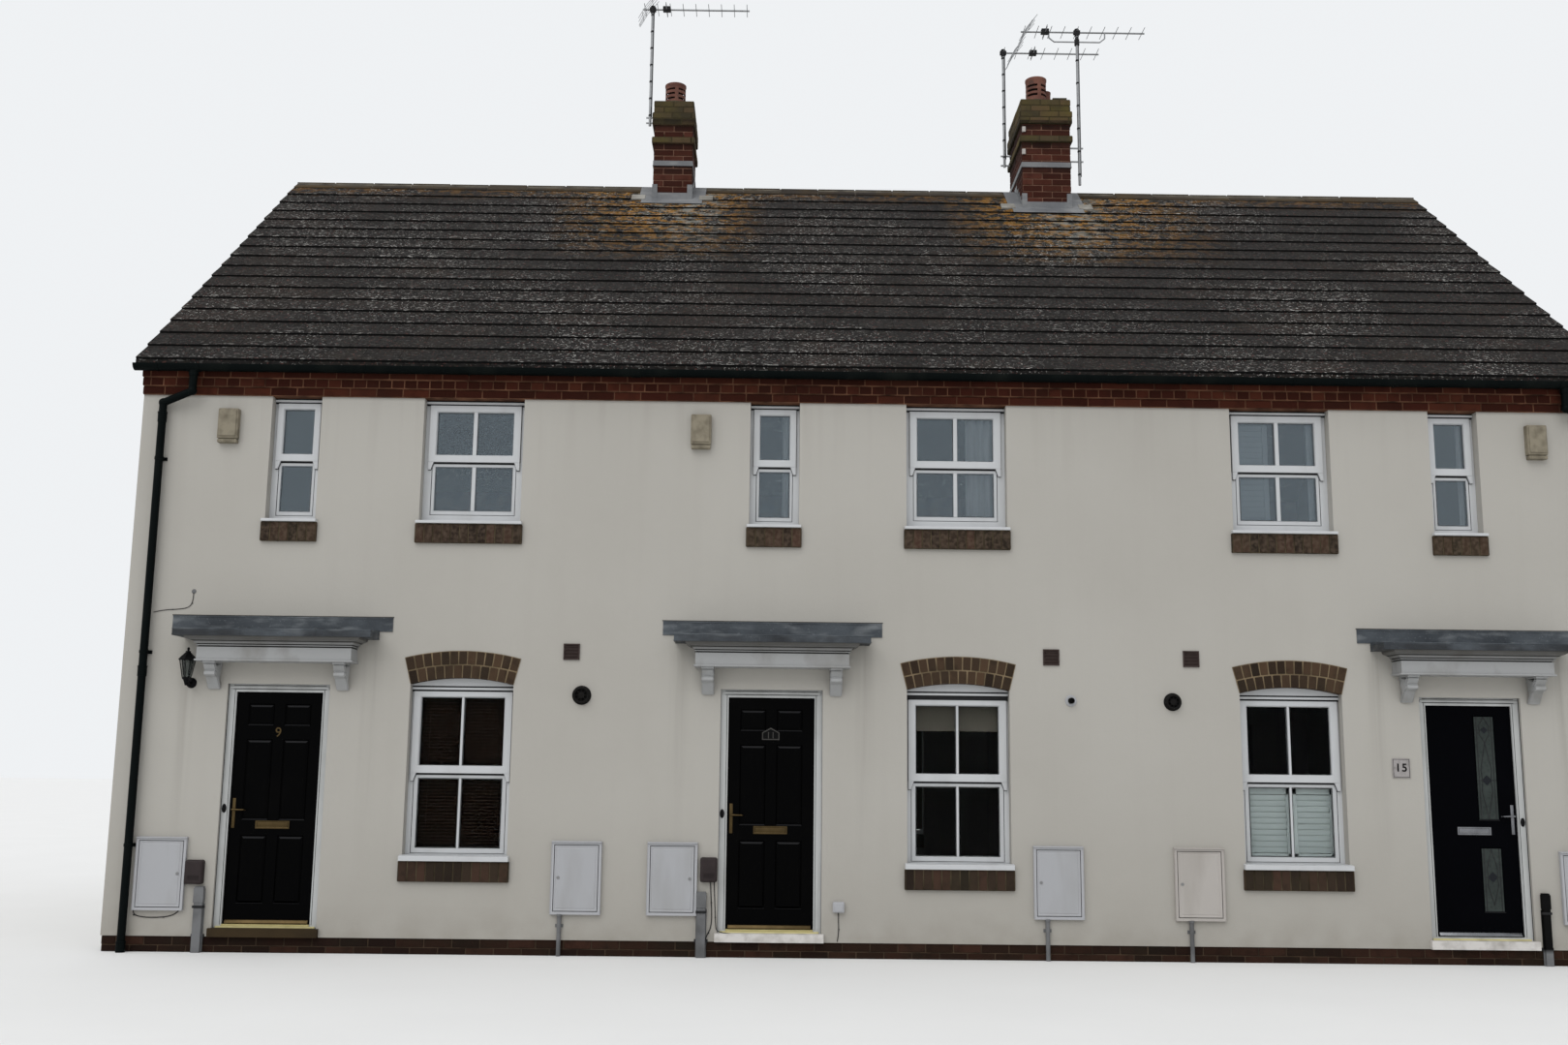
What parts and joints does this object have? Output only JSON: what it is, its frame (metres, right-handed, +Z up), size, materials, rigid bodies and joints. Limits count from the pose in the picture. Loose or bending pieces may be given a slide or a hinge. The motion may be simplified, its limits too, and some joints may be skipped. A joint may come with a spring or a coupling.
{
  "type": "terraced house row",
  "caption": "Row of rendered terraced houses with sash windows, panelled doors under bracketed canopies, a tiled roof and brick chimney stacks.",
  "frame": {"origin": "centre of the row's footprint at ground level", "axes": "+X along the street front to the viewer's right, +Y from the street front into the houses, +Z up"},
  "size_m": [13.228, 8.154, 10.52],
  "materials": {
    "brick": "weathered facing brick",
    "floor": "concrete slab",
    "timber_floor": "timber floor",
    "render": "fine sprayed render, cream",
    "party": "plastered blockwork",
    "tiles": "flat concrete tiles with lichen",
    "pots": "terracotta",
    "lead": "weathered lead sheet",
    "aerial": "dull aluminium",
    "gutter": "black plastic",
    "arch_brick": "weathered brick",
    "sill_brick": "brown brick on end",
    "white_frame": "white plastic",
    "cream_plastic": "cream plastic",
    "glass": "clear sealed panes",
    "door_sill": "cast stone",
    "black_paint": "black gloss paint",
    "navy_paint": "dark blue satin",
    "back_door": "white plastic",
    "brass": "polished brass",
    "chrome": "bright chrome",
    "box": "cream and brown plastic",
    "vent": "brown plastic",
    "lantern": "black paint",
    "duct": "grey plastic"
  },
  "bodies": {
    "house_row": {"plinth": "brick", "ground_floor": "floor", "first_floor": "timber_floor", "front_left_pier": "render", "front_ground_piers": "render", "front_upper_piers": "render", "front_wall_aprons": "render", "front_wall_band": "render", "eaves_front": "brick", "back_wall_piers": "render", "back_wall_aprons": "render", "back_wall_band": "render", "eaves_back": "brick", "left_gable_wall": "render", "right_gable_wall": "render", "party_walls": "party", "roof_front": "tiles", "roof_back": "tiles", "ridge_tiles": "tiles", "chimney_stacks": "brick", "chimney_pots": "pots", "chimney_lead": "lead", "aerials": "aerial", "gutters": "gutter", "downpipes": "gutter", "downpipe_necks": "gutter", "window_arches": "arch_brick", "brick_sills": "sill_brick", "ground_windows": "white_frame", "upper_windows": "white_frame", "window_glass": "glass", "door_frames": "white_frame", "door_sills": "door_sill", "back_doors": "back_door", "canopy_roofs": "lead", "canopy_cornices": "white_frame", "canopy_brackets": "white_frame", "meter_cupboards": "white_frame", "wall_boxes": "box", "wall_vents": "vent", "wall_lantern": "lantern", "service_ducts": "duct"},
    "left_entry": {"left_front_door": "black_paint", "left_door_fittings": "brass"},
    "middle_entry": {"middle_front_door": "black_paint", "middle_door_fittings": "brass"},
    "right_entry": {"right_front_door": "navy_paint", "right_door_fittings": "chrome"},
    "left_gas_cupboard_door": {"left_gas_door": "white_frame"},
    "middle_gas_cupboard_door": {"middle_gas_door": "white_frame"},
    "right_gas_cupboard_door": {"right_gas_door": "cream_plastic"},
    "left_electric_cupboard_door": {"left_electric_door": "white_frame"},
    "middle_electric_cupboard_door": {"middle_electric_door": "white_frame"},
    "right_electric_cupboard_door": {"right_electric_door": "white_frame"}
  },
  "joints": [
    {"name": "left_front_door_hinge", "type": "hinge", "parent": "house_row", "child": "left_entry", "pos_m": [-4.8165, -3.732, 0.233], "axis": [0, 0, -1], "range_deg": [0, 90]},
    {"name": "middle_front_door_hinge", "type": "hinge", "parent": "house_row", "child": "middle_entry", "pos_m": [-0.5605, -3.732, 0.233], "axis": [0, 0, -1], "range_deg": [0, 90]},
    {"name": "right_front_door_hinge", "type": "hinge", "parent": "house_row", "child": "right_entry", "pos_m": [4.7405, -3.732, 0.233], "axis": [0, 0, 1], "range_deg": [0, 90]},
    {"name": "left_gas_cupboard_hinge", "type": "hinge", "parent": "house_row", "child": "left_gas_cupboard_door", "pos_m": [-2.396, -3.87, 0.371], "axis": [0, 0, 1], "range_deg": [0, 90]},
    {"name": "middle_gas_cupboard_hinge", "type": "hinge", "parent": "house_row", "child": "middle_gas_cupboard_door", "pos_m": [1.699, -3.87, 0.371], "axis": [0, 0, 1], "range_deg": [0, 90]},
    {"name": "right_gas_cupboard_hinge", "type": "hinge", "parent": "house_row", "child": "right_gas_cupboard_door", "pos_m": [2.899, -3.87, 0.371], "axis": [0, 0, 1], "range_deg": [0, 90]},
    {"name": "left_electric_cupboard_hinge", "type": "hinge", "parent": "house_row", "child": "left_electric_cupboard_door", "pos_m": [-6.277, -3.87, 0.371], "axis": [0, 0, -1], "range_deg": [0, 90]},
    {"name": "middle_electric_cupboard_hinge", "type": "hinge", "parent": "house_row", "child": "middle_electric_cupboard_door", "pos_m": [-1.951, -3.87, 0.371], "axis": [0, 0, -1], "range_deg": [0, 90]},
    {"name": "right_electric_cupboard_hinge", "type": "hinge", "parent": "house_row", "child": "right_electric_cupboard_door", "pos_m": [5.831, -3.87, 0.371], "axis": [0, 0, -1], "range_deg": [0, 90]}
  ]
}
